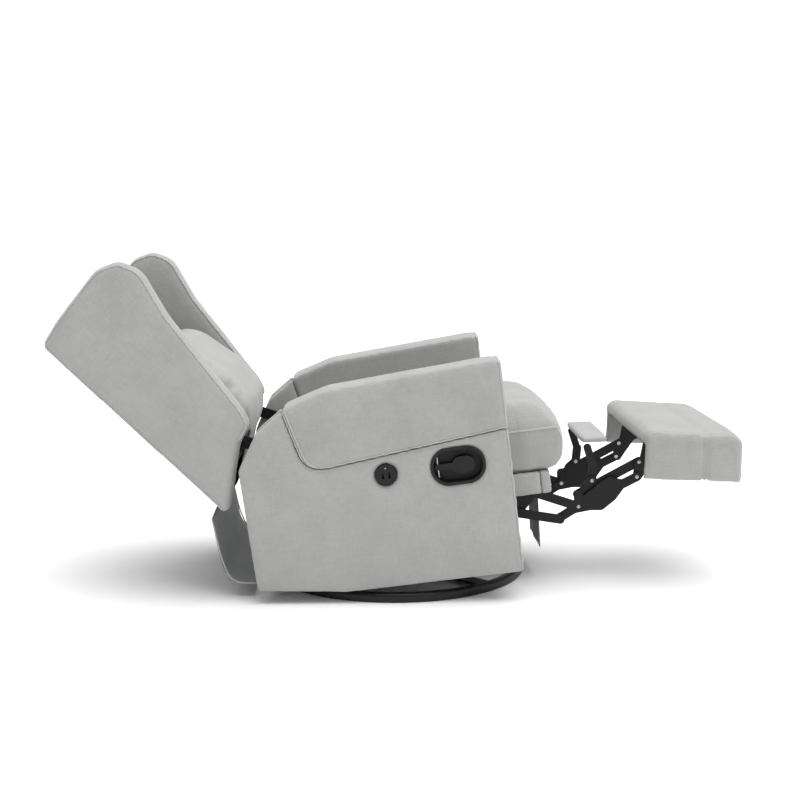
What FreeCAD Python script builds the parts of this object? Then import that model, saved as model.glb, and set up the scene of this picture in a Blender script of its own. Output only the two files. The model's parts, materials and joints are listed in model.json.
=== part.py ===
"""Glider nursery chair with a swivel ring base, a reclining wing back and a fold-out footrest.

Units are millimetres.  The chair faces -Y, +Z is up, +X is the sitter's left.
The origin is on the floor under the middle of the whole chair.

The chair stands at rest as it is when someone lies back in it: back reclined, footrest out,
and the seat body swung to the rear end of its glide, which leans it back by LEAN.
Everything above the glide links is drawn level and then leaned back about the swivel point.
Side outlines are lists of (forward, up, corner radius), with forward = -Y.
"""
import FreeCAD
import Part
import math
import os

V = FreeCAD.Vector

# ---------------------------------------------------------------- driving dimensions
LEAN = 7.2                 # lean of the seat body at the rear end of the glide, degrees
SWIVEL_FORWARD = -8.0      # swivel centre, forward of the origin
SIDES = (-1, 1)            # sitter's right, sitter's left

# swivel base
RING_RADIUS = 350.0
RING_WIDTH = 24.0
RING_HEIGHT = 24.0
SPOKE_WIDTH = 42.0
SPOKE_THICKNESS = 8.0
SPOKE_BOTTOM = 8.0
HUB_RADIUS = 85.0
HUB_THICKNESS = 6.0
RACE_RADIUS = 62.0
RACE_BORE = 30.0
RACE_HEIGHT = 8.0
RACE_GAP = 0.4

# turntable and glide linkage
TURNTABLE_LENGTH = 210.0
TURNTABLE_THICKNESS = 5.0
UPRIGHT_X = 160.0          # middle of each upright, from the centre plane
UPRIGHT_THICKNESS = 6.0
GLIDE_LINK_X = 168.0
GLIDE_LINK_THICKNESS = 6.0
GLIDE_LINK_WIDTH = 30.0
CARRIAGE_PLATE_X = 176.0
CARRIAGE_PLATE_THICKNESS = 5.0
CARRIAGE_FRONT = 250.0
CARRIAGE_REAR = -305.0
CROSS_TUBE = 30.0
CROSS_TUBE_BOTTOM = 150.0
FRONT_TOP_PIVOT = (130.9, 216.7)
REAR_TOP_PIVOT = (-166.8, 183.2)
CARRIAGE_PIVOT_FORWARD = 120.0
CARRIAGE_PIVOT_UP = 95.0
PIVOT_PIN_RADIUS = 5.0
PIN_CLEARANCE = 0.05
OPEN_PIVOT_CLEARANCE = 3.0

# arms
WIDTH = 710.0
ARM_THICKNESS = 97.0
PANEL_THICKNESS = 24.0
LINING_THICKNESS = 24.0
ARM_GAP = 0.5
ARM_FRONT = 321.0
ARM_REAR = -350.0
ARM_HEM = 42.0
ARM_TOP = 576.0
POST_WIDTH = 34.0
FRAME_INSET = 20.0

# release lever and charging port, in the right-hand side panel
LEVER_CUP_FORWARD = 188.0
LEVER_CUP_UP = 329.0
LEVER_CUP_LENGTH = 127.0
LEVER_CUP_HEIGHT = 85.0
LEVER_CUP_DEPTH = 21.0
LEVER_CUP_WALL = 2.5
LEVER_CUP_RIM = 5.0
LEVER_LENGTH = 92.0
LEVER_STEM = 15.0
LEVER_PULL_RADIUS = 21.0
LEVER_THICKNESS = 9.0
LEVER_PIN_RADIUS = 2.5
PORT_FORWARD = 9.0
PORT_UP = 329.0
PORT_RADIUS = 27.0

# seat unit
SEAT_SIDE_GAP = 9.0
SEAT_RAIL_THICKNESS = 22.0
SEAT_RAIL_BOTTOM = 206.0
SEAT_RAIL_TOP = 264.0
RAIL_WEB = 7.0
SEAT_FRONT = 424.0
SEAT_REAR = -285.0
CUSHION_SIDE_GAP = 6.0
CUSHION_FRONT = 473.0
CUSHION_REAR = -268.0
CUSHION_TOP = 434.0
SPRING_WIRE = 4.0
SPRING_BENDS = 22

# footrest linkage, as (forward, up) with the footrest out
LINK_THICKNESS = 4.0
LINK_GAP = 1.0
LINK_STACK = 130.0         # inner face of the innermost link
LINK_WIDTH = 24.0
LEG_TOP_PIVOT = (378.4, 195.0)
LEG_LOW_PIVOT = (327.4, 147.0)
KNEE_PIVOT = (500.0, 137.0)
KNEE_TAIL = (447.0, 112.0)
KNEE_TOP = (503.2, 167.0)
FOOT_LOW_PIVOT = (662.0, 195.0)
FOOT_TOP_PIVOT = (673.0, 233.0)
FLIPPER_PIVOT = (545.0, 198.0)
FLIPPER_PLANE = 0          # planes of the links, counted outward
UPPER_PLANE = 1
BRACKET_PLANE = 2
FRONT_PLANE = 3
REAR_PLANE = 4
SIDE_PLATE_PLANE = 5
LOW_PLANE = 6

# footrest
FOOT_HALF_WIDTH = 275.0
FOOT_SKIRT = 14.0
FOOT_TOP_THICKNESS = 24.0
FOOT_BOARD_THICKNESS = 10.0
FLIPPER_THICKNESS = 14.0
FLIPPER_BOTTOM = 298.0

# back
BACK_RECLINE = 38.8        # rear face from upright when reclined, in the seat body's frame
BACK_CORNER = (-401.5, 284.6)
BACK_INSET = 22.0
WING_THICKNESS = 70.0
BACK_LENGTH = 598.0
BACK_PIVOT = (92.2, 144.5)  # along the back, and forward of its rear face
HINGE_PLATE_THICKNESS = 4.0
OUTER_BACK_THICKNESS = 12.0
BACK_POST_WIDTH = 36.0
BACK_POST_GAP = 16.0

HALF_WIDTH = WIDTH / 2
ARM_INNER = HALF_WIDTH - ARM_THICKNESS
SEAT_HALF_WIDTH = ARM_INNER - SEAT_SIDE_GAP
CUSHION_HALF_WIDTH = ARM_INNER - CUSHION_SIDE_GAP
BACK_HALF_WIDTH = HALF_WIDTH - BACK_INSET
WING_INNER = BACK_HALF_WIDTH - WING_THICKNESS
POST_OUTER = WING_INNER - BACK_POST_GAP

parts = {}


# ---------------------------------------------------------------- helpers
def corner_edges(corners):
    """Edges of a closed outline of (a, b, radius) corners, in the X-Y plane."""
    places = [V(c[0], c[1], 0) for c in corners]
    starts = []
    ends = []
    middles = []
    count = len(corners)
    for i in range(count):
        here = places[i]
        back = places[i - 1] - here
        ahead = places[(i + 1) % count] - here
        radius = corners[i][2] if len(corners[i]) > 2 else 0
        turn = back.getAngle(ahead)
        if radius <= 0 or turn > math.pi - 0.01:
            starts.append(here)
            ends.append(here)
            middles.append(None)
            continue
        reach = radius / math.tan(turn / 2)
        reach = min(reach, 0.48 * back.Length, 0.48 * ahead.Length)
        radius = reach * math.tan(turn / 2)
        back.normalize()
        ahead.normalize()
        bisector = back + ahead
        bisector.normalize()
        centre = here + bisector * (radius / math.sin(turn / 2))
        starts.append(here + back * reach)
        ends.append(here + ahead * reach)
        middles.append(centre - bisector * radius)
    edges = []
    for i in range(count):
        if middles[i] is not None:
            edges.append(Part.Arc(starts[i], middles[i], ends[i]).toShape())
        following = starts[(i + 1) % count]
        if (following - ends[i]).Length > 1e-6:
            edges.append(Part.LineSegment(ends[i], following).toShape())
    return edges


def outline_face(corners):
    return Part.Face(Part.Wire(corner_edges(corners)))


def side_slab(corners, x_low, x_high):
    """A slab with a side outline, between two distances from the centre plane."""
    mirrored = [(-corner[0],) + tuple(corner[1:]) for corner in corners]
    slab = outline_face(mirrored).extrude(V(0, 0, x_high - x_low))
    # a third of a turn about (1, 1, 1) takes the outline's X, Y, Z to Y, Z, X
    slab.rotate(V(0, 0, 0), V(1, 1, 1), 120)
    slab.translate(V(x_low, 0, 0))
    return slab if slab.Volume > 0 else slab.reversed()


def on_side(side, corners, inner, outer):
    """The same slab on the sitter's right (-1) or left (+1), from inner to outer distance."""
    if side > 0:
        return side_slab(corners, inner, outer)
    return side_slab(corners, -outer, -inner)


def both_sides(corners, inner, outer):
    return [on_side(side, corners, inner, outer) for side in SIDES]


def rod(place, radius, x_low, x_high):
    """A round rod across the chair at (forward, up)."""
    return Part.makeCylinder(radius, x_high - x_low, V(x_low, -place[0], place[1]), V(1, 0, 0))


def rod_on_side(side, place, radius, inner, outer):
    if side > 0:
        return rod(place, radius, inner, outer)
    return rod(place, radius, -outer, -inner)


def bar(first, second, width):
    """Side outline of a flat bar with round ends about two pivots."""
    along = V(second[0] - first[0], second[1] - first[1], 0)
    along.normalize()
    across = V(-along.y, along.x, 0)
    half = width / 2
    corners = []
    for place, way, side in ((first, -1, 1), (first, -1, -1), (second, 1, -1), (second, 1, 1)):
        corner = V(place[0], place[1], 0) + along * (way * half) + across * (side * half)
        corners.append((corner.x, corner.y, half * 0.98))
    return corners


def link_planes(index):
    """Inner and outer distance of a link from the centre plane, counted from the innermost."""
    inner = LINK_STACK + index * (LINK_THICKNESS + LINK_GAP)
    return inner, inner + LINK_THICKNESS


def link_pair(outlines, plane, holes):
    """A link on each side: outlines fused in one plane, with (place, radius) holes."""
    inner, outer = link_planes(plane)
    pair = []
    for side in SIDES:
        link = on_side(side, outlines[0], inner, outer)
        for outline in outlines[1:]:
            link = link.fuse(on_side(side, outline, inner, outer))
        for place, radius in holes:
            link = link.cut(rod_on_side(side, place, radius, inner - 1, outer + 1))
        pair.append(link.removeSplitter())
    return pair


def pin_pair(place, first_plane, last_plane, radius=PIVOT_PIN_RADIUS):
    inner = link_planes(first_plane)[0]
    outer = link_planes(last_plane)[1]
    return [rod_on_side(side, place, radius, inner, outer) for side in SIDES]


def leaned(shape):
    """Lean a level shape back with the seat body, and move it over the swivel."""
    shape = shape.copy()
    shape.rotate(V(0, 0, 0), V(1, 0, 0), -LEAN)
    shape.translate(V(0, -SWIVEL_FORWARD, 0))
    return shape


def centred(shape):
    shape = shape.copy()
    shape.translate(V(0, -SWIVEL_FORWARD, 0))
    return shape


def keep(name, solids, place=leaned):
    """Store one node, made of one solid or of separate solids."""
    solids = solids if isinstance(solids, list) else [solids]
    placed = []
    for solid in solids:
        placed.extend(place(solid).Solids)
    parts[name] = placed[0] if len(placed) == 1 else Part.makeCompound(placed)


def on_back(along, forward):
    """A place on the back, from its lower rear corner, in the level seat frame."""
    angle = math.radians(BACK_RECLINE)
    up = (-math.sin(angle), math.cos(angle))
    out = (math.cos(angle), math.sin(angle))
    return (BACK_CORNER[0] + along * up[0] + forward * out[0],
            BACK_CORNER[1] + along * up[1] + forward * out[1])


def back_outline(corners):
    """Side outline given as (along the back, forward of its rear face, radius)."""
    return [on_back(c[0], c[1]) + ((c[2] if len(c) > 2 else 0),) for c in corners]


# ---------------------------------------------------------------- swivel base
def make_base():
    half = RING_WIDTH / 2
    section = [(RING_RADIUS - half - half, 0, 5), (RING_RADIUS, 0, 5),
               (RING_RADIUS, RING_HEIGHT, 8), (RING_RADIUS - RING_WIDTH, RING_HEIGHT, 8)]
    face = outline_face(section)
    face.rotate(V(0, 0, 0), V(1, 0, 0), 90)
    ring = face.revolve(V(0, 0, 0), V(0, 0, 1), 360)
    ring = ring if ring.Volume > 0 else ring.reversed()
    keep("base_ring", ring, centred)

    spokes = []
    spoke_top = SPOKE_BOTTOM + SPOKE_THICKNESS
    inner = HUB_RADIUS - 25
    length = RING_RADIUS - RING_WIDTH - inner
    for turn in (45, 135, 225, 315):
        spoke = Part.makeBox(length, SPOKE_WIDTH, SPOKE_THICKNESS,
                             V(inner, -SPOKE_WIDTH / 2, SPOKE_BOTTOM))
        round_ring = Part.makeCylinder(RING_RADIUS - RING_WIDTH - 0.1, spoke_top + 5)
        spoke.rotate(V(0, 0, 0), V(0, 0, 1), turn)
        spokes.append(spoke.common(round_ring))
    keep("base_spokes", spokes, centred)

    hub = Part.makeCylinder(HUB_RADIUS, HUB_THICKNESS, V(0, 0, spoke_top))
    hub = hub.cut(Part.makeCylinder(RACE_BORE, HUB_THICKNESS + 2, V(0, 0, spoke_top - 1)))
    keep("hub_plate", hub, centred)

    race_bottom = spoke_top + HUB_THICKNESS
    lower = Part.makeCylinder(RACE_RADIUS, RACE_HEIGHT, V(0, 0, race_bottom))
    lower = lower.cut(Part.makeCylinder(RACE_BORE, RACE_HEIGHT + 2, V(0, 0, race_bottom - 1)))
    keep("bearing_lower_race", lower, centred)

    upper_bottom = race_bottom + RACE_HEIGHT + RACE_GAP
    upper = Part.makeCylinder(RACE_RADIUS, RACE_HEIGHT, V(0, 0, upper_bottom))
    upper = upper.cut(Part.makeCylinder(RACE_BORE, RACE_HEIGHT + 2, V(0, 0, upper_bottom - 1)))
    keep("bearing_upper_race", upper, centred)
    return upper_bottom + RACE_HEIGHT


# ---------------------------------------------------------------- turntable and glide links
def make_turntable(bottom):
    top = bottom + TURNTABLE_THICKNESS
    half = TURNTABLE_LENGTH / 2
    plate = Part.makeBox(2 * half, 2 * half, TURNTABLE_THICKNESS, V(-half, -half, bottom))
    keep("turntable_plate", plate, centred)

    inner = UPRIGHT_X - UPRIGHT_THICKNESS / 2
    outer = UPRIGHT_X + UPRIGHT_THICKNESS / 2
    foot = 26.0
    reach = 16.0
    front = FRONT_TOP_PIVOT
    rear = REAR_TOP_PIVOT
    frame = [(rear[0] - reach, top, 4), (front[0] + reach, top, 4),
             (front[0] + reach, front[1] + reach, 14), (front[0] - reach, front[1] + reach, 14),
             (front[0] - reach, top + foot, 20), (rear[0] + reach, top + foot, 20),
             (rear[0] + reach, rear[1] + reach, 14), (rear[0] - reach, rear[1] + reach, 14)]
    keep("glide_uprights", both_sides(frame, inner, outer), centred)

    bars = []
    for middle in (-half + 20, half - 20):
        outline = [(middle - 15, top), (middle + 15, top), (middle + 15, top + 22),
                   (middle - 15, top + 22)]
        bars.append(side_slab(outline, -inner, inner))
    keep("glide_cross_bars", bars, centred)

    pins = []
    pin_outer = GLIDE_LINK_X + GLIDE_LINK_THICKNESS / 2
    for place in (front, rear):
        pins += [rod_on_side(side, place, PIVOT_PIN_RADIUS, outer, pin_outer) for side in SIDES]
    keep("glide_pivot_pins", pins, centred)


def leaned_place(place):
    """Where a level (forward, up) place lies once the seat body leans back."""
    angle = math.radians(LEAN)
    return (place[0] * math.cos(angle) - place[1] * math.sin(angle),
            place[0] * math.sin(angle) + place[1] * math.cos(angle))


def make_glide_links():
    half = GLIDE_LINK_THICKNESS / 2
    pairs = (("glide_links_front", FRONT_TOP_PIVOT, CARRIAGE_PIVOT_FORWARD, PIN_CLEARANCE),
             ("glide_links_rear", REAR_TOP_PIVOT, -CARRIAGE_PIVOT_FORWARD, OPEN_PIVOT_CLEARANCE))
    for name, top, forward, clearance in pairs:
        low = leaned_place((forward, CARRIAGE_PIVOT_UP))
        links = []
        for side in SIDES:
            link = on_side(side, bar(top, low, GLIDE_LINK_WIDTH), GLIDE_LINK_X - half,
                           GLIDE_LINK_X + half)
            link = link.cut(rod_on_side(side, top, PIVOT_PIN_RADIUS + PIN_CLEARANCE,
                                        GLIDE_LINK_X - 10, GLIDE_LINK_X + 10))
            link = link.cut(rod_on_side(side, low, PIVOT_PIN_RADIUS + clearance,
                                        GLIDE_LINK_X - 10, GLIDE_LINK_X + 10))
            links.append(link)
        keep(name, links, centred)


# ---------------------------------------------------------------- seat body: carriage and arms
def make_carriage():
    half = CARRIAGE_PLATE_THICKNESS / 2
    inner = CARRIAGE_PLATE_X - half
    outer = CARRIAGE_PLATE_X + half
    low = CARRIAGE_PIVOT_UP - 18
    reach = CARRIAGE_PIVOT_FORWARD + 30
    end = CROSS_TUBE_BOTTOM - 52
    plate = [(CARRIAGE_REAR, end, 6), (-reach, low, 20), (reach, low, 20),
             (CARRIAGE_FRONT, end, 6), (CARRIAGE_FRONT, CROSS_TUBE_BOTTOM, 6),
             (CARRIAGE_REAR, CROSS_TUBE_BOTTOM, 6)]
    keep("carriage_plates", both_sides(plate, inner, outer))

    pins = []
    for forward in (-CARRIAGE_PIVOT_FORWARD, CARRIAGE_PIVOT_FORWARD):
        place = (forward, CARRIAGE_PIVOT_UP)
        pins += [rod_on_side(side, place, PIVOT_PIN_RADIUS,
                             GLIDE_LINK_X - GLIDE_LINK_THICKNESS / 2, inner) for side in SIDES]
    keep("carriage_pivot_pins", pins)

    tubes = []
    top = CROSS_TUBE_BOTTOM + CROSS_TUBE
    for rear in (CARRIAGE_REAR + 5, CARRIAGE_FRONT - 5 - CROSS_TUBE):
        outline = [(rear, CROSS_TUBE_BOTTOM, 3), (rear + CROSS_TUBE, CROSS_TUBE_BOTTOM, 3),
                   (rear + CROSS_TUBE, top, 3), (rear, top, 3)]
        tubes.append(side_slab(outline, -ARM_INNER, ARM_INNER))
    keep("carriage_cross_tubes", tubes)


def arm_outline():
    """Outline of a whole arm, seen from the side."""
    return [(ARM_FRONT, ARM_HEM - 3, 5), (-120, ARM_HEM + 3, 260), (ARM_REAR + 5, ARM_HEM + 35, 12),
            (ARM_REAR, 384, 26), (-296, 470, 20), (-212, 527, 90), (-105, 557, 120),
            (ARM_FRONT - 22, ARM_TOP + 1, 20), (ARM_FRONT, ARM_TOP - 3, 5)]


def pad_region():
    """Everything above the seam between the arm pad and the side panels."""
    beyond = 60
    return [(ARM_FRONT + beyond, 412), (ARM_FRONT, 407), (-186, 359, 58), (-227, 523),
            (-240, ARM_TOP + beyond), (ARM_FRONT + beyond, ARM_TOP + beyond)]


def make_arm(side, name):
    region = pad_region()
    whole = on_side(side, arm_outline(), ARM_INNER, HALF_WIDTH)
    pad_cutter = on_side(side, region, ARM_INNER - 5, HALF_WIDTH + 5)
    keep("arm_pad_" + name, whole.common(pad_cutter))

    panel = on_side(side, arm_outline(), HALF_WIDTH - PANEL_THICKNESS, HALF_WIDTH)
    panel = panel.cut(pad_cutter)
    if side < 0:
        panel = panel.cut(lever_cup_slab(0, HALF_WIDTH - LEVER_CUP_DEPTH - LEVER_CUP_WALL,
                                         HALF_WIDTH + 5))
        panel = panel.cut(rod_on_side(side, (PORT_FORWARD, PORT_UP), PORT_RADIUS,
                                      HALF_WIDTH - PANEL_THICKNESS, HALF_WIDTH + 5))
    keep("side_panel_" + name, panel)

    lining = on_side(side, arm_outline(), ARM_INNER, ARM_INNER + LINING_THICKNESS)
    keep("arm_lining_" + name, lining.cut(pad_cutter))

    inner = ARM_INNER + LINING_THICKNESS + ARM_GAP
    outer = HALF_WIDTH - PANEL_THICKNESS - ARM_GAP
    left = ARM_REAR + FRAME_INSET
    right = ARM_FRONT - FRAME_INSET
    low = ARM_HEM + 42
    high = 350.0
    ring = on_side(side, [(right, low), (left, low), (left, high), (right, high)], inner, outer)
    hole = on_side(side, [(right - POST_WIDTH, low + POST_WIDTH), (left + POST_WIDTH, low + POST_WIDTH),
                          (left + POST_WIDTH, high - POST_WIDTH),
                          (right - POST_WIDTH, high - POST_WIDTH)], inner - 1, outer + 1)
    keep("arm_frame_" + name, ring.cut(hole))


def lever_cup_slab(grow, inner, outer):
    """The stadium of the lever cup, grown all round, on the sitter's right."""
    half = LEVER_CUP_HEIGHT / 2
    reach = LEVER_CUP_LENGTH / 2 - half
    first = (LEVER_CUP_FORWARD - reach, LEVER_CUP_UP)
    second = (LEVER_CUP_FORWARD + reach, LEVER_CUP_UP)
    return on_side(-1, bar(first, second, LEVER_CUP_HEIGHT + 2 * grow), inner, outer)


def make_lever():
    floor = HALF_WIDTH - LEVER_CUP_DEPTH
    shell = lever_cup_slab(0, floor - LEVER_CUP_WALL, HALF_WIDTH)
    rim = lever_cup_slab(LEVER_CUP_RIM, HALF_WIDTH, HALF_WIDTH + 2)
    hollow = lever_cup_slab(-LEVER_CUP_WALL, floor, HALF_WIDTH + 5)
    keep("lever_cup", shell.fuse(rim).cut(hollow).removeSplitter())

    rear = LEVER_CUP_FORWARD - LEVER_CUP_LENGTH / 2 + 14
    pivot = (rear, LEVER_CUP_UP)
    pull = (rear + LEVER_LENGTH - LEVER_PULL_RADIUS, LEVER_CUP_UP)
    middle = floor + LEVER_CUP_DEPTH / 2
    inner = middle - LEVER_THICKNESS / 2
    outer = middle + LEVER_THICKNESS / 2
    stem = on_side(-1, bar(pivot, pull, LEVER_STEM), inner, outer)
    grip = on_side(-1, bar((pull[0] - 14, pull[1]), pull, 2 * LEVER_PULL_RADIUS), inner, outer)
    bore = Part.makeCylinder(LEVER_PIN_RADIUS + PIN_CLEARANCE, 80,
                             V(-middle, -rear, LEVER_CUP_UP - 40))
    keep("release_lever", stem.fuse(grip).removeSplitter().cut(bore))
    reach = LEVER_CUP_HEIGHT / 2 - LEVER_CUP_WALL
    half_span = math.sqrt(reach ** 2 - (reach - 14 + LEVER_CUP_WALL) ** 2)
    pin = Part.makeCylinder(LEVER_PIN_RADIUS, 2 * half_span - 6,
                            V(-middle, -rear, LEVER_CUP_UP - half_span + 3))
    keep("lever_pin", pin)

    port = rod_on_side(-1, (PORT_FORWARD, PORT_UP), PORT_RADIUS - 0.05,
                       HALF_WIDTH - PANEL_THICKNESS, HALF_WIDTH + 3)
    for forward in (PORT_FORWARD - 8, PORT_FORWARD + 8):
        slot = [(forward - 2.5, PORT_UP - 9), (forward + 2.5, PORT_UP - 9),
                (forward + 2.5, PORT_UP + 5), (forward - 2.5, PORT_UP + 5)]
        port = port.cut(on_side(-1, slot, HALF_WIDTH - 8, HALF_WIDTH + 5))
    keep("charging_port", port)


def make_apron():
    """Curved cloth panel across the rear, below the back."""
    reach = HALF_WIDTH - 70
    outer = [(-352, 80), (-402, 86, 50), (-434, 136, 70), (-441, 262), (-437, 262),
             (-430, 138, 66), (-400, 90, 46), (-352, 84)]
    keep("rear_apron", side_slab(outer, -reach, reach))


# ---------------------------------------------------------------- seat unit
def make_seat():
    inner = SEAT_HALF_WIDTH - SEAT_RAIL_THICKNESS
    front = SEAT_FRONT - 25
    front_rail = [(front, SEAT_RAIL_BOTTOM, 2), (SEAT_FRONT, SEAT_RAIL_BOTTOM, 4),
                  (SEAT_FRONT, SEAT_RAIL_TOP, 4), (front, SEAT_RAIL_TOP, 2)]
    rail = side_slab(front_rail, -SEAT_HALF_WIDTH, SEAT_HALF_WIDTH)
    # the folded footrest linkage lies in a notch on each side
    notch = [(front - 5, SEAT_RAIL_BOTTOM - 5), (SEAT_FRONT + 5, SEAT_RAIL_BOTTOM - 5),
             (SEAT_FRONT + 5, SEAT_RAIL_TOP - RAIL_WEB), (front - 5, SEAT_RAIL_TOP - RAIL_WEB)]
    for side in SIDES:
        rail = rail.cut(on_side(side, notch, link_planes(FLIPPER_PLANE)[0] - 4,
                                link_planes(LOW_PLANE)[1] + 4))
    keep("seat_front_rail", rail)

    side_rail = [(SEAT_REAR, SEAT_RAIL_BOTTOM), (front, SEAT_RAIL_BOTTOM), (front, SEAT_RAIL_TOP),
                 (SEAT_REAR, SEAT_RAIL_TOP)]
    rails = both_sides(side_rail, inner, SEAT_HALF_WIDTH)
    rear_rail = [(SEAT_REAR, SEAT_RAIL_BOTTOM), (SEAT_REAR + 25, SEAT_RAIL_BOTTOM),
                 (SEAT_REAR + 25, SEAT_RAIL_TOP), (SEAT_REAR, SEAT_RAIL_TOP)]
    rails.append(side_slab(rear_rail, -inner, inner))
    keep("seat_rails", rails)

    runner_low = SEAT_RAIL_BOTTOM - 8.3
    runner = [(-270, runner_low), (300, runner_low), (300, runner_low + 8), (-270, runner_low + 8)]
    keep("seat_runners", both_sides(runner, inner + 2, ARM_INNER))

    springs = []
    start = SEAT_REAR + 25 + SPRING_WIRE
    step = (front - SPRING_WIRE - start) / SPRING_BENDS
    level = SEAT_RAIL_TOP - 8
    # one row down the middle, and two on each side that miss the linkage
    near = LINK_STACK - 45
    far = (link_planes(LOW_PLANE)[1] + inner) / 2
    for middle in (-far, -near, 0, near, far):
        wire = []
        for bend in range(SPRING_BENDS + 1):
            wire.append((middle + (18 if bend % 2 else -18), start + step * bend))
        springs.append(flat_wire(wire, level))
    keep("seat_springs", springs)

    profile = [(CUSHION_REAR, SEAT_RAIL_TOP + 2, 10), (440, SEAT_RAIL_TOP + 4, 10),
               (CUSHION_FRONT - 6, 292, 20), (CUSHION_FRONT, 338, 30), (462, 385, 20),
               (430, 425, 20), (390, CUSHION_TOP, 30), (200, CUSHION_TOP - 2, 100),
               (CUSHION_REAR, 398, 30)]
    cushion = side_slab(profile, -CUSHION_HALF_WIDTH, CUSHION_HALF_WIDTH)
    low = SEAT_RAIL_TOP - 10
    across = outline_face([(-CUSHION_HALF_WIDTH, low), (CUSHION_HALF_WIDTH, low),
                           (CUSHION_HALF_WIDTH, 380, 20), (CUSHION_HALF_WIDTH - 50, 436, 40),
                           (-CUSHION_HALF_WIDTH + 50, 436, 40), (-CUSHION_HALF_WIDTH, 380, 20)])
    across.rotate(V(0, 0, 0), V(1, 0, 0), 90)
    across.translate(V(0, 600, 0))
    keep("seat_cushion", cushion.common(across.extrude(V(0, -1200, 0))))

    flap = [(402, SEAT_RAIL_BOTTOM, 0), (405, SEAT_RAIL_BOTTOM, 0), (394, 28, 0), (391, 28, 0)]
    keep("front_flap", side_slab(flap, -104, 104))


def flat_wire(points, level):
    """A zigzag wire of square section through (across, forward) points at one height."""
    half = SPRING_WIRE / 2
    wire = None
    for first, second in zip(points, points[1:]):
        start = V(first[0], -first[1], level)
        end = V(second[0], -second[1], level)
        along = end - start
        length = along.Length
        piece = Part.makeBox(length, SPRING_WIRE, SPRING_WIRE, V(0, -half, -half))
        piece.rotate(V(0, 0, 0), V(0, 0, 1), math.degrees(math.atan2(along.y, along.x)))
        piece.translate(start)
        wire = piece if wire is None else wire.fuse(piece)
    return wire.removeSplitter()


# ---------------------------------------------------------------- footrest linkage
def make_leg_links():
    running = PIVOT_PIN_RADIUS + PIN_CLEARANCE
    plate = [(286, SEAT_RAIL_TOP - 2, 4), (SEAT_FRONT - 25, SEAT_RAIL_TOP - 2, 0),
             (SEAT_FRONT - 25, SEAT_RAIL_TOP - RAIL_WEB, 2), (360, SEAT_RAIL_TOP - RAIL_WEB - 14, 20),
             (396, 200, 12), (386, 176, 10), (340, 130, 16), (310, 130, 16), (296, 170, 10)]
    keep("leg_side_plates", link_pair([plate], SIDE_PLATE_PLANE, [
        (LEG_TOP_PIVOT, PIVOT_PIN_RADIUS), (LEG_LOW_PIVOT, PIVOT_PIN_RADIUS)]))
    keep("leg_side_pins", pin_pair(LEG_TOP_PIVOT, REAR_PLANE, SIDE_PLATE_PLANE)
         + pin_pair(LEG_LOW_PIVOT, SIDE_PLATE_PLANE, LOW_PLANE))

    rear_arm = bar(LEG_TOP_PIVOT, KNEE_PIVOT, LINK_WIDTH)
    rear_ear = bar(KNEE_PIVOT, KNEE_TOP, LINK_WIDTH)
    keep("leg_rear_links", link_pair([rear_arm, rear_ear], REAR_PLANE, [
        (LEG_TOP_PIVOT, running), (KNEE_PIVOT, PIVOT_PIN_RADIUS)]))
    keep("knee_pins", pin_pair(KNEE_PIVOT, FRONT_PLANE, REAR_PLANE))

    keep("leg_low_links", link_pair([bar(LEG_LOW_PIVOT, KNEE_TAIL, LINK_WIDTH)], LOW_PLANE,
                                    [(LEG_LOW_PIVOT, running)]))

    web = [(470, 118, 10), (530, 122, 20), (562, 118, 14), (600, 142, 20), (640, 186, 10),
           (590, 206, 14), (560, 190, 14), (500, 152, 10)]
    keep("leg_front_links", link_pair(
        [bar(KNEE_TAIL, KNEE_PIVOT, LINK_WIDTH), bar(KNEE_PIVOT, FOOT_LOW_PIVOT, LINK_WIDTH), web],
        FRONT_PLANE, [(KNEE_PIVOT, running), (FOOT_LOW_PIVOT, PIVOT_PIN_RADIUS)]))
    keep("foot_low_pins", pin_pair(FOOT_LOW_PIVOT, BRACKET_PLANE, FRONT_PLANE))

    upper = bar(KNEE_TOP, FOOT_TOP_PIVOT, LINK_WIDTH)
    ear = bar(((KNEE_TOP[0] + FLIPPER_PIVOT[0]) / 2, (KNEE_TOP[1] + FLIPPER_PIVOT[1]) / 2),
              FLIPPER_PIVOT, LINK_WIDTH)
    keep("leg_upper_links", link_pair([upper, ear], UPPER_PLANE, [
        (FOOT_TOP_PIVOT, running), (FLIPPER_PIVOT, PIVOT_PIN_RADIUS)]))
    keep("flipper_pins", pin_pair(FLIPPER_PIVOT, FLIPPER_PLANE, UPPER_PLANE))

    # the flipper board is narrower than the links, and swings through between them
    elbow = (FLIPPER_PIVOT[0] + 8, FLIPPER_PIVOT[1] + 38)
    arm_top = (FLIPPER_PIVOT[0] - 2, FLIPPER_BOTTOM - 11)
    low_arm = bar(FLIPPER_PIVOT, elbow, LINK_WIDTH)
    high_arm = bar(elbow, arm_top, LINK_WIDTH - 4)
    keep("flipper_arms", link_pair([low_arm, high_arm], FLIPPER_PLANE, [(FLIPPER_PIVOT, running)]))
    low = FLIPPER_BOTTOM
    board = [(531, low + 3, 5), (597, low - 4, 5), (598, low + FLIPPER_THICKNESS - 4, 5),
             (532, low + FLIPPER_THICKNESS + 3, 5)]
    half = link_planes(FLIPPER_PLANE)[1]
    keep("flipper_board", side_slab(board, -half, half))


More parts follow.
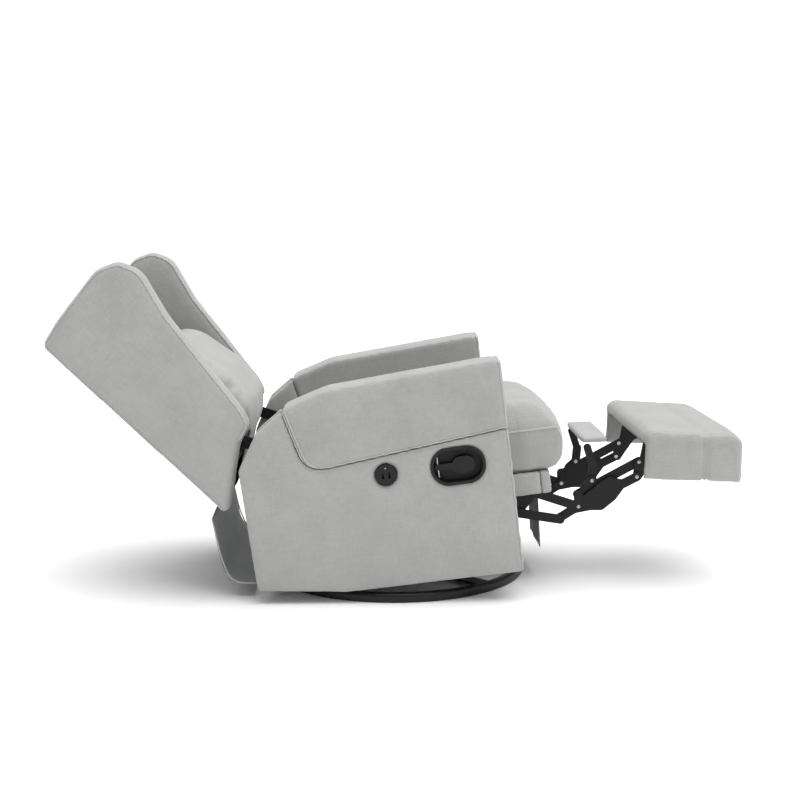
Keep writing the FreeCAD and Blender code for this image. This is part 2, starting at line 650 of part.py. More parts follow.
def make_footrest():
    outline = [(655, 213, 4), (904, 171, 8), (917, 275, 16), (900, 297, 20), (688, 336, 20),
               (672, 322, 14)]
    whole = side_slab(outline, -FOOT_HALF_WIDTH, FOOT_HALF_WIDTH)
    hollow = [(640, 190), (640, 296), (664, 302, 4), (680, 300, 8), (888, 262, 8), (882, 150)]
    half = FOOT_HALF_WIDTH - FOOT_SKIRT
    cover = whole.cut(side_slab(hollow, -half, half))
    keep("footrest_cover", cover)

    slope = math.atan2(262 - 300, 888 - 680)
    gap = 1.0
    top = FOOT_BOARD_THICKNESS
    board = []
    for along, down in ((6, gap), (198, gap), (198, gap + top), (6, gap + top)):
        board.append((680 + along * math.cos(slope) + down * math.sin(slope),
                      300 + along * math.sin(slope) - down * math.cos(slope), 0))
    keep("footrest_board", side_slab(board, -half + 2, half - 2))

    shoe = board[3]
    tail = 84.0
    outline = [(shoe[0] + 6, shoe[1] - 1.5, 2), (shoe[0] + tail, shoe[1] - 1.5 - tail * 0.183, 4),
               (shoe[0] + tail, shoe[1] - 36, 8), (716, 236, 20),
               (FOOT_LOW_PIVOT[0] + 8, FOOT_LOW_PIVOT[1] - 12, 8),
               (FOOT_LOW_PIVOT[0] - 11, FOOT_LOW_PIVOT[1] - 8, 8),
               (FOOT_TOP_PIVOT[0] - 12, FOOT_TOP_PIVOT[1] + 2, 8),
               (FOOT_TOP_PIVOT[0] + 4, FOOT_TOP_PIVOT[1] + 13, 8)]
    running = PIVOT_PIN_RADIUS + PIN_CLEARANCE
    keep("footrest_brackets", link_pair([outline], BRACKET_PLANE, [
        (FOOT_LOW_PIVOT, running), (FOOT_TOP_PIVOT, PIVOT_PIN_RADIUS)]))
    keep("foot_top_pins", pin_pair(FOOT_TOP_PIVOT, UPPER_PLANE, BRACKET_PLANE))


# ---------------------------------------------------------------- back
def make_back():
    wing = back_outline([(0, 0, 4), (BACK_LENGTH, -2, 14), (612, 60, 90), (628, 220, 46),
                         (604, 270, 30), (552, 292, 60), (430, 256, 200), (140, 213, 40),
                         (104, 200, 14), (92, 150, 60), (-4, 12, 6)])
    for side, name in ((-1, "right"), (1, "left")):
        keep("wing_" + name, on_side(side, wing, WING_INNER, BACK_HALF_WIDTH))

    skin = back_outline([(6, 0), (BACK_LENGTH - 6, 0), (BACK_LENGTH - 2, OUTER_BACK_THICKNESS),
                         (10, OUTER_BACK_THICKNESS)])
    keep("outer_back", side_slab(skin, -WING_INNER + 1, WING_INNER - 1))

    near = OUTER_BACK_THICKNESS + 1
    far = near + 44
    post = back_outline([(24, near), (572, near), (572, far), (24, far)])
    frame = both_sides(post, POST_OUTER - BACK_POST_WIDTH, POST_OUTER)
    for low in (24, 290, 536):
        rail = back_outline([(low, near), (low + 36, near), (low + 36, far), (low, far)])
        reach = POST_OUTER - BACK_POST_WIDTH
        frame.append(side_slab(rail, -reach, reach))
    keep("back_frame", frame)

    face = far + 2
    half = POST_OUTER - 5
    lumbar = back_outline([(46, face, 10), (60, 112, 20), (96, 190, 20), (132, 218, 40),
                           (222, 226, 60), (351, 204, 20), (402, 182, 20), (402, face, 4)])
    keep("back_cushion", side_slab(lumbar, -half, half))
    head = back_outline([(406, face, 4), (406, 150, 20), (480, 166, 60), (556, 154, 40),
                         (590, 100, 24), (588, face, 10)])
    keep("head_cushion", side_slab(head, -half, half))

    # cloth that closes the bottom of the back
    cloth = back_outline([(16, 14), (16, 61), (50, 114, 20), (86, 184), (89, 181.5),
                          (54, 113, 20), (20, 60), (20, 14)])
    keep("back_lining", side_slab(cloth, -half, half))

    pivot = on_back(BACK_PIVOT[0], BACK_PIVOT[1])
    running = PIVOT_PIN_RADIUS + PIN_CLEARANCE
    inner = POST_OUTER + ARM_GAP
    outer = inner + HINGE_PLATE_THICKNESS
    plate = back_outline([(40, 20, 8), (150, 20, 8), (150, 56, 8), (112, 150, 18),
                          (78, 160, 18), (66, 110, 20), (40, 56, 8)])
    plates = []
    for side in SIDES:
        leaf = on_side(side, plate, inner, outer)
        plates.append(leaf.cut(rod_on_side(side, pivot, running, inner - 1, outer + 1)))
    keep("back_hinge_plates", plates)

    arm_inner = outer + ARM_GAP
    arm_plates = []
    ear = bar(pivot, (ARM_REAR + 60, 420), 30)
    for side in SIDES:
        leaf = on_side(side, ear, arm_inner, ARM_INNER)
        arm_plates.append(leaf.cut(rod_on_side(side, pivot, PIVOT_PIN_RADIUS,
                                               arm_inner - 1, ARM_INNER + 1)))
    keep("arm_hinge_plates", arm_plates)
    keep("back_pivot_pins", [rod_on_side(side, pivot, PIVOT_PIN_RADIUS, inner, ARM_INNER)
                             for side in SIDES])


# ---------------------------------------------------------------- build
turntable_bottom = make_base()
make_turntable(turntable_bottom)
make_glide_links()
make_carriage()
make_arm(-1, "right")
make_arm(1, "left")
make_lever()
make_apron()
make_seat()
make_leg_links()
make_footrest()
make_back()

os.makedirs("parts", exist_ok=True)
for name in sorted(parts):
    parts[name].exportStep("parts/" + name + ".step")
print(len(parts), "nodes")
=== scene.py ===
"""Looks of a glider nursery chair: soft goods, seams, metal finishes, floor, light and camera.

Metres. The chair faces -Y, +Z is up, +X is the sitter's left.
Places on the seat body are (forward, up) with the body level; places on the back are
(along it from its lower rear corner, forward of its rear face). Both in millimetres.
"""
import bpy
import bmesh
import json
import math
import numpy as np
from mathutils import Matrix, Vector
from mathutils.kdtree import KDTree
from mathutils.noise import noise


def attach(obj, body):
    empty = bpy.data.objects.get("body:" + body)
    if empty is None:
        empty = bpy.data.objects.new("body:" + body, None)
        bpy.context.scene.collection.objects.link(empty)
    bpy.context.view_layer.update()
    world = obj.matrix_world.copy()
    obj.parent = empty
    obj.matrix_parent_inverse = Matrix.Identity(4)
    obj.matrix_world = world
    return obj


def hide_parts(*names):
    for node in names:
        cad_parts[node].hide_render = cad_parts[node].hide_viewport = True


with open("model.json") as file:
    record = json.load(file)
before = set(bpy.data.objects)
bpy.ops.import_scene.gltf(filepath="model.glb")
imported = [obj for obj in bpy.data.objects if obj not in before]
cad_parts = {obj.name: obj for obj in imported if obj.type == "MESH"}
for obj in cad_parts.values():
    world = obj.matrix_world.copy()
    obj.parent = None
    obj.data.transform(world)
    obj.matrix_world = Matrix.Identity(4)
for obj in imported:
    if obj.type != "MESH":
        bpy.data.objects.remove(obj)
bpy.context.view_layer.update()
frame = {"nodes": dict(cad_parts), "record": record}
nodes = frame["nodes"]
node_body = {n: body for body, names in frame["record"]["behaviour"]["bodies"].items() for n in names}

LEAN = math.radians(7.2)
BACK_ANGLE = math.radians(38.8)
BACK_CORNER = (-401.5, 284.6)
SWIVEL_BACK = 8.0
ARM_OUTER = 0.355
ARM_INNER = 0.258
WING_OUTER = 0.333
WING_INNER = 0.263
CUSHION_SIDE = 0.252
LINK_STACK = 130.0         # inner face of the innermost footrest link, mm
LINK_PITCH = 5.0
LINK_THICKNESS = 4.0
PIPING = 0.0023
PIPING_LIFT = 0.0006
REAR_LINING_SIDE = 0.284


# ---------------------------------------------------------------- places
def on_seat(x, forward, up):
    """A place on the level seat body, leaned back over the swivel."""
    y = forward * math.cos(LEAN) - up * math.sin(LEAN)
    z = forward * math.sin(LEAN) + up * math.cos(LEAN)
    return Vector((x, (SWIVEL_BACK - y) / 1000, z / 1000))


def on_back(x, along, forward):
    return on_seat(x, BACK_CORNER[0] - along * math.sin(BACK_ANGLE) + forward * math.cos(BACK_ANGLE),
                   BACK_CORNER[1] + along * math.cos(BACK_ANGLE) + forward * math.sin(BACK_ANGLE))


# ---------------------------------------------------------------- shader helpers
def node_at(tree, kind, **settings):
    made = tree.nodes.new(kind)
    for key, value in settings.items():
        setattr(made, key, value)
    return made


def shader_group(name, inputs, outputs):
    """A shader node group with named float, colour or vector sockets."""
    tree = bpy.data.node_groups.new(name, "ShaderNodeTree")
    kinds = {"f": "NodeSocketFloat", "c": "NodeSocketColor", "v": "NodeSocketVector"}
    for label, kind, value in inputs:
        made = tree.interface.new_socket(label, in_out="INPUT", socket_type=kinds[kind])
        if value is not None:
            made.default_value = value
    for label, kind in outputs:
        tree.interface.new_socket(label, in_out="OUTPUT", socket_type=kinds[kind])
    return tree, tree.nodes.new("NodeGroupInput"), tree.nodes.new("NodeGroupOutput")


def math_node(tree, operation, first, second):
    made = node_at(tree, "ShaderNodeMath", operation=operation)
    for place, value in enumerate((first, second)):
        if isinstance(value, (int, float)):
            made.inputs[place].default_value = value
        else:
            tree.links.new(value, made.inputs[place])
    return made.outputs[0]


def noise_node(tree, vector, scale, detail=2.0, roughness=0.5):
    made = node_at(tree, "ShaderNodeTexNoise")
    tree.links.new(vector, made.inputs["Vector"])
    made.inputs["Detail"].default_value = detail
    made.inputs["Roughness"].default_value = roughness
    if isinstance(scale, (int, float)):
        made.inputs["Scale"].default_value = scale
    else:
        tree.links.new(scale, made.inputs["Scale"])
    return made.outputs["Fac"]


def make_weave_group():
    """Plain weave: threads along the three axes, slubs, and soft cloudy shading of the nap."""
    tree, enter, leave = shader_group("woven_cloth", [
        ("Vector", "v", None), ("Threads per metre", "f", 1100.0), ("Slub", "f", 0.5),
        ("Cloud scale", "f", 9.0)], [("Height", "f"), ("Fleck", "f"), ("Cloud", "f")])
    vector = enter.outputs["Vector"]
    bands = []
    for direction in ("X", "Y", "Z"):
        wave = node_at(tree, "ShaderNodeTexWave", wave_type="BANDS", bands_direction=direction)
        tree.links.new(vector, wave.inputs["Vector"])
        pitch = math_node(tree, "MULTIPLY", enter.outputs["Threads per metre"], 0.05)
        tree.links.new(pitch, wave.inputs["Scale"])
        wave.inputs["Distortion"].default_value = 1.4
        wave.inputs["Detail"].default_value = 1.0
        wave.inputs["Detail Scale"].default_value = 1.3
        bands.append(wave.outputs["Fac"])
    threads = math_node(tree, "ADD", math_node(tree, "ADD", bands[0], bands[1]), bands[2])
    slub = noise_node(tree, vector, 420.0, 3.0, 0.6)
    height = math_node(tree, "ADD", threads, math_node(tree, "MULTIPLY", slub, enter.outputs["Slub"]))
    tree.links.new(height, leave.inputs["Height"])
    streaks = []
    for stretch in ((1.0, 0.06, 1.0), (1.0, 1.0, 0.06)):
        along = node_at(tree, "ShaderNodeMapping")
        along.inputs["Scale"].default_value = stretch
        tree.links.new(vector, along.inputs["Vector"])
        streaks.append(noise_node(tree, along.outputs[0], 620.0, 2.0, 0.6))
    fleck = math_node(tree, "MULTIPLY", math_node(tree, "ADD", streaks[0], streaks[1]), 0.5)
    tree.links.new(fleck, leave.inputs["Fleck"])
    cloud = noise_node(tree, vector, enter.outputs["Cloud scale"], 4.0, 0.55)
    tree.links.new(cloud, leave.inputs["Cloud"])
    return tree


def make_grain_group():
    """Fine grain for paint and moulded plastic, with faint scuffs."""
    tree, enter, leave = shader_group("fine_grain", [
        ("Vector", "v", None), ("Grain scale", "f", 2200.0), ("Scuff scale", "f", 60.0)],
        [("Height", "f"), ("Scuff", "f")])
    grain = noise_node(tree, enter.outputs["Vector"], enter.outputs["Grain scale"], 2.0, 0.5)
    tree.links.new(grain, leave.inputs["Height"])
    scuff = noise_node(tree, enter.outputs["Vector"], enter.outputs["Scuff scale"], 5.0, 0.7)
    tree.links.new(scuff, leave.inputs["Scuff"])
    return tree


WEAVE = make_weave_group()
GRAIN = make_grain_group()


def colour_ramp(tree, factor, low, high, low_at=0.0, high_at=1.0):
    made = node_at(tree, "ShaderNodeValToRGB")
    ends = made.color_ramp.elements
    ends[0].position = low_at
    ends[1].position = high_at
    ends[0].color = (*low, 1)
    ends[1].color = (*high, 1)
    tree.links.new(factor, made.inputs["Fac"])
    return made.outputs["Color"]


def start_material(name, tilt=0.0):
    material = bpy.data.materials.new(name)
    material.use_nodes = True
    tree = material.node_tree
    shader = tree.nodes["Principled BSDF"]
    place = node_at(tree, "ShaderNodeTexCoord")
    turned = node_at(tree, "ShaderNodeMapping")
    turned.inputs["Rotation"].default_value = (tilt, 0, 0)
    tree.links.new(place.outputs["Object"], turned.inputs["Vector"])
    return material, tree, shader, turned.outputs[0]


def put_group(tree, group, vector, **values):
    made = node_at(tree, "ShaderNodeGroup", node_tree=group)
    tree.links.new(vector, made.inputs["Vector"])
    for label, value in values.items():
        made.inputs[label.replace("_", " ")].default_value = value
    return made


def put_bump(tree, shader, height, strength, distance):
    bump = node_at(tree, "ShaderNodeBump")
    bump.inputs["Strength"].default_value = strength
    bump.inputs["Distance"].default_value = distance
    tree.links.new(height, bump.inputs["Height"])
    tree.links.new(bump.outputs[0], shader.inputs["Normal"])


def mixed(tree, factor, first, second, blend="MIX"):
    made = node_at(tree, "ShaderNodeMix", data_type="RGBA", blend_type=blend)
    if isinstance(factor, (int, float)):
        made.inputs["Factor"].default_value = factor
    else:
        tree.links.new(factor, made.inputs["Factor"])
    for socket, value in ((made.inputs["A"], first), (made.inputs["B"], second)):
        if isinstance(value, tuple):
            socket.default_value = (*value, 1)
        else:
            tree.links.new(value, socket)
    return made.outputs["Result"]


def cloth_material(name, tilt, dark, light, bump=0.35, sheen=0.25, threads=1100.0):
    """Woven upholstery cloth; its threads run along the piece when tilt is the piece's lean."""
    material, tree, shader, vector = start_material(name, tilt)
    weave = put_group(tree, WEAVE, vector, Threads_per_metre=threads)
    flecked = colour_ramp(tree, weave.outputs["Fleck"], dark, light, 0.25, 0.75)
    clouds = colour_ramp(tree, weave.outputs["Cloud"], (0.90, 0.90, 0.90), (1.0, 1.0, 1.0), 0.3, 0.68)
    tree.links.new(mixed(tree, 1.0, flecked, clouds, "MULTIPLY"), shader.inputs["Base Color"])
    shader.inputs["Roughness"].default_value = 0.88
    shader.inputs["Specular IOR Level"].default_value = 0.25
    shader.inputs["Sheen Weight"].default_value = sheen
    shader.inputs["Sheen Roughness"].default_value = 0.45
    put_bump(tree, shader, weave.outputs["Height"], bump, 0.0004)
    return material


def hard_material(name, dark, light, roughness, metallic=0.0, bump=0.12, grain=2200.0, coat=0.0,
                  gloss=0.3):
    material, tree, shader, vector = start_material(name)
    grained = put_group(tree, GRAIN, vector, Grain_scale=grain)
    tree.links.new(colour_ramp(tree, grained.outputs["Scuff"], dark, light, 0.35, 0.75),
                   shader.inputs["Base Color"])
    spread = node_at(tree, "ShaderNodeMapRange")
    spread.inputs["To Min"].default_value = roughness - 0.06
    spread.inputs["To Max"].default_value = roughness + 0.08
    tree.links.new(grained.outputs["Scuff"], spread.inputs["Value"])
    tree.links.new(spread.outputs[0], shader.inputs["Roughness"])
    shader.inputs["Metallic"].default_value = metallic
    shader.inputs["Coat Weight"].default_value = coat
    shader.inputs["Specular IOR Level"].default_value = gloss
    put_bump(tree, shader, grained.outputs["Height"], bump, 0.0002)
    return material


def wood_material(name):
    material, tree, shader, vector = start_material(name, LEAN)
    rings = node_at(tree, "ShaderNodeTexWave", wave_type="BANDS", bands_direction="Z")
    tree.links.new(vector, rings.inputs["Vector"])
    rings.inputs["Scale"].default_value = 28.0
    rings.inputs["Distortion"].default_value = 7.0
    rings.inputs["Detail"].default_value = 3.0
    tree.links.new(colour_ramp(tree, rings.outputs["Fac"], (0.42, 0.27, 0.14), (0.60, 0.43, 0.25)),
                   shader.inputs["Base Color"])
    shader.inputs["Roughness"].default_value = 0.7
    put_bump(tree, shader, rings.outputs["Fac"], 0.15, 0.0005)
    return material


GREY_DARK = (0.325, 0.327, 0.320)
GREY_LIGHT = (0.435, 0.437, 0.428)
CLOTH = {
    "seat": cloth_material("grey_weave_seat", LEAN, GREY_DARK, GREY_LIGHT),
    "back": cloth_material("grey_weave_back", LEAN + BACK_ANGLE, GREY_DARK, GREY_LIGHT),
    "foot": cloth_material("grey_weave_footrest", LEAN - 0.18, GREY_DARK, GREY_LIGHT),
}
PIPING_CLOTH = cloth_material("grey_weave_piping", LEAN, (0.40, 0.402, 0.394), (0.50, 0.502, 0.492),
                              bump=0.25, threads=1300.0)
# Lining cloth for the rear, front and under-back sheets. It is coloured darker than the upholstery as
# painted shade for the shaded places where these sheets hang.
LINING_PAINTED_SHADE = cloth_material("lining_cloth_painted_shade", LEAN, (0.24, 0.243, 0.249), (0.36, 0.364, 0.371),
                        bump=0.2, sheen=0.15, threads=1600.0)
THREAD = cloth_material("grey_thread", LEAN, (0.36, 0.36, 0.355), (0.46, 0.46, 0.45), threads=2600.0)
SATIN_BLACK = hard_material("satin_black_powder_coat", (0.004, 0.004, 0.0045), (0.008, 0.008, 0.0085), 0.5)
GLOSS_BLACK = hard_material("semi_gloss_black_paint", (0.004, 0.004, 0.0045), (0.008, 0.008, 0.0085), 0.34,
                            coat=0.1, bump=0.06)
ZINC = hard_material("zinc_plate", (0.34, 0.34, 0.36), (0.50, 0.50, 0.52), 0.36, metallic=1.0, grain=900.0)
BLACK_PLASTIC = hard_material("textured_black_plastic", (0.006, 0.006, 0.0065), (0.012, 0.012, 0.0125), 0.5,
                              bump=0.3, grain=1500.0)
PINE = wood_material("sawn_pine")
BY_SLOT = {"upholstery": CLOTH["seat"], "lining_cloth": LINING_PAINTED_SHADE, "frame_wood": PINE,
           "steel_black": SATIN_BLACK, "base_paint": GLOSS_BLACK, "bare_steel": ZINC,
           "black_plastic": BLACK_PLASTIC}

for row in frame["record"]["subparts"]:
    nodes[row["node"]].data.materials.clear()
    nodes[row["node"]].data.materials.append(BY_SLOT[row["material_slot"]])


# ---------------------------------------------------------------- mesh helpers
def new_object(name, mesh, material=None):
    made = bpy.data.objects.new(name, mesh)
    bpy.context.scene.collection.objects.link(made)
    if material is not None:
        mesh.materials.clear()
        mesh.materials.append(material)
    return made


def shade_smooth(mesh):
    mesh.polygons.foreach_set("use_smooth", [True] * len(mesh.polygons))
    mesh.update()


def bake_modifiers(obj):
    """Replace a piece's mesh by what its modifiers make, and drop them."""
    bpy.context.view_layer.update()
    graph = bpy.context.evaluated_depsgraph_get()
    made = bpy.data.meshes.new_from_object(obj.evaluated_get(graph))
    obj.modifiers.clear()
    obj.data = made
    return obj


def coordinates(mesh):
    flat = np.empty(len(mesh.vertices) * 3)
    mesh.vertices.foreach_get("co", flat)
    return flat.reshape(-1, 3)


def set_coordinates(mesh, places):
    mesh.vertices.foreach_set("co", places.ravel())
    mesh.update()


def vertex_normals(mesh):
    flat = np.empty(len(mesh.vertices) * 3)
    mesh.vertex_normals.foreach_get("vector", flat)
    return flat.reshape(-1, 3)


def merged_copy(node):
    """The node's mesh with its doubles merged."""
    shape = bmesh.new()
    shape.from_mesh(nodes[node].data)
    bmesh.ops.remove_doubles(shape, verts=shape.verts, dist=1e-5)
    bmesh.ops.recalc_face_normals(shape, faces=shape.faces)
    return shape


def seam_tree(shape, fold=math.radians(50), step=0.004):
    """Search tree of places along the sharp edges of a solid, where its panels are sewn."""
    places = []
    for edge in shape.edges:
        if edge.calc_face_angle(0) < fold:
            continue
        first, second = edge.verts[0].co, edge.verts[1].co
        count = max(2, int((second - first).length / step) + 1)
        for i in range(count):
            places.append(first.lerp(second, i / (count - 1)))
    tree = KDTree(len(places))
    for i, place in enumerate(places):
        tree.insert(place, i)
    tree.balance()
    return tree


def seam_distances(places, tree):
    return np.array([tree.find(place)[2] for place in places])


def remeshed(name, shape, voxel):
    mesh = bpy.data.meshes.new(name)
    shape.to_mesh(mesh)
    made = new_object(name, mesh)
    modifier = made.modifiers.new("remesh", "REMESH")
    modifier.mode = "VOXEL"
    modifier.voxel_size = voxel
    return bake_modifiers(made)


def smoothed(obj, times, factor=0.5):
    modifier = obj.modifiers.new("smooth", "SMOOTH")
    modifier.iterations = times
    modifier.factor = factor
    return bake_modifiers(obj)


def inflate(obj, pressure, cap):
    """Blow the closed form up as cloth, letting no point move further than cap."""
    before = coordinates(obj.data)
    cloth = obj.modifiers.new("cloth", "CLOTH")
    cloth.settings.use_pressure = True
    cloth.settings.uniform_pressure_force = pressure
    cloth.settings.effector_weights.gravity = 0
    cloth.settings.quality = 4
    cloth.point_cache.frame_start = 1
    cloth.point_cache.frame_end = 20
    for step in range(1, 21):
        bpy.context.scene.frame_set(step)
    bake_modifiers(obj)
    moved = coordinates(obj.data) - before
    length = np.linalg.norm(moved, axis=1, keepdims=True)
    moved *= np.minimum(1.0, cap / np.maximum(length, 1e-9))
    set_coordinates(obj.data, before + moved)
    bpy.context.scene.frame_set(1)


def soft_piece(name, node, material, voxel=0.006, crown=0.004, fall=0.05, pull=0.002, pressure=0.0,
               cap=0.02, wrinkle=0.0008, side_limit=None, grooves=(), finer=False, bow=0.0):
    """Upholstered form of a plain solid: crowned between its seams and drawn in along them.

    grooves are (place, normal, depth, half width) of sewn channels; bow is how far the middle
    of the front edge stands out beyond its corners.
    """
    shape = merged_copy(node)
    tree = seam_tree(shape)
    obj = remeshed(name, shape, voxel)
    shape.free()
    smoothed(obj, 3)
    if pressure:
        inflate(obj, pressure, cap)
        smoothed(obj, 2)
    if finer:
        obj.modifiers.new("finer", "SUBSURF").levels = 1
        bake_modifiers(obj)
    places = coordinates(obj.data)
    normals = vertex_normals(obj.data)
    distance = seam_distances(places, tree)
    rise = crown * (1 - np.exp(-distance / fall)) - pull * np.exp(-(distance / 0.009) ** 2)
    folds = np.array([noise(Vector(p) * 9.0) + 0.5 * noise(Vector(p) * 23.0) for p in places])
    rise += wrinkle * folds * (1 - np.exp(-distance / 0.03))
    # small puckers close to the seams
    gathers = np.array([noise(Vector(p) * 70.0) for p in places])
    rise += 0.0006 * gathers * np.exp(-((distance - 0.012) / 0.012) ** 2)
    for place, normal, depth, half_width in grooves:
        away = (places - np.array(place)) @ np.array(normal.normalized())
        rise -= depth * np.exp(-np.abs(away / half_width) ** 1.6)
    places = places + normals * rise[:, None]
    if bow:
        front = np.clip((-places[:, 1] - 0.33) / 0.08, 0, 1)
        places[:, 1] -= bow * front * np.clip(1 - (places[:, 0] / 0.26) ** 2, 0, 1)
    if side_limit is not None:
        places[:, 0] = np.clip(places[:, 0], side_limit[0], side_limit[1])
    set_coordinates(obj.data, places)
    shade_smooth(obj.data)
    obj.data.materials.clear()
    obj.data.materials.append(material)
    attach(obj, node_body[node])
    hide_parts(node)
    return obj


# ---------------------------------------------------------------- paths along the pieces
def outline_loop(node, x):
    """The longest closed outline of the node's flat face at this distance across."""
    shape = merged_copy(node)
    chosen = {f for f in shape.faces if all(abs(v.co.x - x) < 2e-4 for v in f.verts)}
    following = {}
    for face in chosen:
        for edge in face.edges:
            if sum(other in chosen for other in edge.link_faces) == 1:
                for vert in edge.verts:
                    following.setdefault(vert, []).append(edge.other_vert(vert))
    loops = []
    left = set(following)
    while left:
        start = min(left, key=lambda v: v.index)
        chain = [start]
        left.discard(start)
        while True:
            ahead = [v for v in following[chain[-1]] if v in left]
            if not ahead:
                break
            chain.append(ahead[0])
            left.discard(ahead[0])
        loops.append([v.co.copy() for v in chain])
    shape.free()
    length = [sum((loop[i] - loop[i - 1]).length for i in range(len(loop))) for loop in loops]
    return loops[length.index(max(length))]


def resampled(points, step, closed=False):
    points = [Vector(p) for p in points]
    if closed:
        points.append(points[0])
    reach = [0.0]
    for first, second in zip(points, points[1:]):
        reach.append(reach[-1] + (second - first).length)
    count = max(2, int(reach[-1] / step))
    steps = np.linspace(0, reach[-1], count + 1)
    columns = [np.interp(steps, reach, [p[k] for p in points]) for k in range(3)]
    return [Vector(p) for p in zip(*columns)]


def stretch_of(loop, start, end, through):
    """The part of a closed loop from start to end that passes near through."""
    dense = resampled(loop, 0.004, closed=True)[:-1]
    count = len(dense)
    first = min(range(count), key=lambda i: (dense[i] - start).length)
    last = min(range(count), key=lambda i: (dense[i] - end).length)
    ways = []
    for way in (1, -1):
        path = [dense[first]]
        i = first
        while i != last:
            i = (i + way) % count
            path.append(dense[i])
        ways.append(path)
    return min(ways, key=lambda path: min((p - through).length for p in path))


def softened(path, times=3):
    """Round the corners of an open path."""
    for _ in range(times):
        path = [path[0]] + [(path[i - 1] + path[i] * 2 + path[i + 1]) / 4
                            for i in range(1, len(path) - 1)] + [path[-1]]
    return path


# ---------------------------------------------------------------- node trees for what follows a path
def geometry_tree(name, inputs):
    tree = bpy.data.node_groups.new(name, "GeometryNodeTree")
    tree.interface.new_socket("Path", in_out="INPUT", socket_type="NodeSocketGeometry")
    sockets = {}
    for label, kind, value in inputs:
        made = tree.interface.new_socket(label, in_out="INPUT", socket_type=kind)
        if value is not None:
            made.default_value = value
        sockets[label] = made.identifier
    tree.interface.new_socket("Made", in_out="OUTPUT", socket_type="NodeSocketGeometry")
    enter = tree.nodes.new("NodeGroupInput")
    leave = tree.nodes.new("NodeGroupOutput")
    return tree, sockets, enter, leave


def end_tree(tree, geometry, enter, leave):
    realised = tree.nodes.new("GeometryNodeRealizeInstances")
    tree.links.new(geometry, realised.inputs[0])
    finish = tree.nodes.new("GeometryNodeSetMaterial")
    tree.links.new(realised.outputs[0], finish.inputs["Geometry"])
    tree.links.new(enter.outputs["Finish"], finish.inputs["Material"])
    tree.links.new(finish.outputs[0], leave.inputs[0])


def make_piping_tree():
    tree, sockets, enter, leave = geometry_tree("piping_along_path", [
        ("Radius", "NodeSocketFloat", PIPING), ("Finish", "NodeSocketMaterial", None)])
    curve = tree.nodes.new("GeometryNodeMeshToCurve")
    tree.links.new(enter.outputs["Path"], curve.inputs[0])
    ring = tree.nodes.new("GeometryNodeCurvePrimitiveCircle")
    ring.inputs["Resolution"].default_value = 10
    tree.links.new(enter.outputs["Radius"], ring.inputs["Radius"])
    swept = tree.nodes.new("GeometryNodeCurveToMesh")
    tree.links.new(curve.outputs[0], swept.inputs["Curve"])
    tree.links.new(ring.outputs[0], swept.inputs["Profile Curve"])
    swept.inputs["Fill Caps"].default_value = True
    smooth = tree.nodes.new("GeometryNodeSetShadeSmooth")
    tree.links.new(swept.outputs[0], smooth.inputs[0])
    end_tree(tree, smooth.outputs[0], enter, leave)
    return tree, sockets


def make_stitch_tree():
    """Short raised stitches at an even pitch along a path."""
    tree, sockets, enter, leave = geometry_tree("stitches_along_path", [
        ("Pitch", "NodeSocketFloat", 0.006), ("Length", "NodeSocketFloat", 0.0042),
        ("Thickness", "NodeSocketFloat", 0.0006), ("Finish", "NodeSocketMaterial", None)])
    curve = tree.nodes.new("GeometryNodeMeshToCurve")
    tree.links.new(enter.outputs["Path"], curve.inputs[0])
    spread = tree.nodes.new("GeometryNodeCurveToPoints")
    spread.mode = "LENGTH"
    tree.links.new(curve.outputs[0], spread.inputs["Curve"])
    tree.links.new(enter.outputs["Pitch"], spread.inputs["Length"])
    stitch = tree.nodes.new("GeometryNodeMeshCylinder")
    stitch.inputs["Vertices"].default_value = 6
    tree.links.new(enter.outputs["Length"], stitch.inputs["Depth"])
    tree.links.new(enter.outputs["Thickness"], stitch.inputs["Radius"])
    placed = tree.nodes.new("GeometryNodeInstanceOnPoints")
    tree.links.new(spread.outputs["Points"], placed.inputs["Points"])
    tree.links.new(stitch.outputs["Mesh"], placed.inputs["Instance"])
    tree.links.new(spread.outputs["Rotation"], placed.inputs["Rotation"])
    end_tree(tree, placed.outputs[0], enter, leave)
    return tree, sockets


def make_rivet_tree():
    """Low round heads, facing across the chair, at each point."""
    tree, sockets, enter, leave = geometry_tree("rivet_heads", [
        ("Radius", "NodeSocketFloat", 0.0065), ("Height", "NodeSocketFloat", 0.0018),
        ("Finish", "NodeSocketMaterial", None)])
    points = tree.nodes.new("GeometryNodeMeshToPoints")
    tree.links.new(enter.outputs["Path"], points.inputs[0])
    head = tree.nodes.new("GeometryNodeMeshUVSphere")
    head.inputs["Segments"].default_value = 20
    head.inputs["Rings"].default_value = 8
    head.inputs["Radius"].default_value = 1.0
    size = tree.nodes.new("ShaderNodeCombineXYZ")
    tree.links.new(enter.outputs["Height"], size.inputs[0])
    tree.links.new(enter.outputs["Radius"], size.inputs[1])
    tree.links.new(enter.outputs["Radius"], size.inputs[2])
    placed = tree.nodes.new("GeometryNodeInstanceOnPoints")
    tree.links.new(points.outputs[0], placed.inputs["Points"])
    tree.links.new(head.outputs["Mesh"], placed.inputs["Instance"])
    tree.links.new(size.outputs[0], placed.inputs["Scale"])
    smooth = tree.nodes.new("GeometryNodeSetShadeSmooth")
    tree.links.new(placed.outputs[0], smooth.inputs[0])
    end_tree(tree, smooth.outputs[0], enter, leave)
    return tree, sockets


PIPING_TREE = make_piping_tree()
STITCH_TREE = make_stitch_tree()
RIVET_TREE = make_rivet_tree()


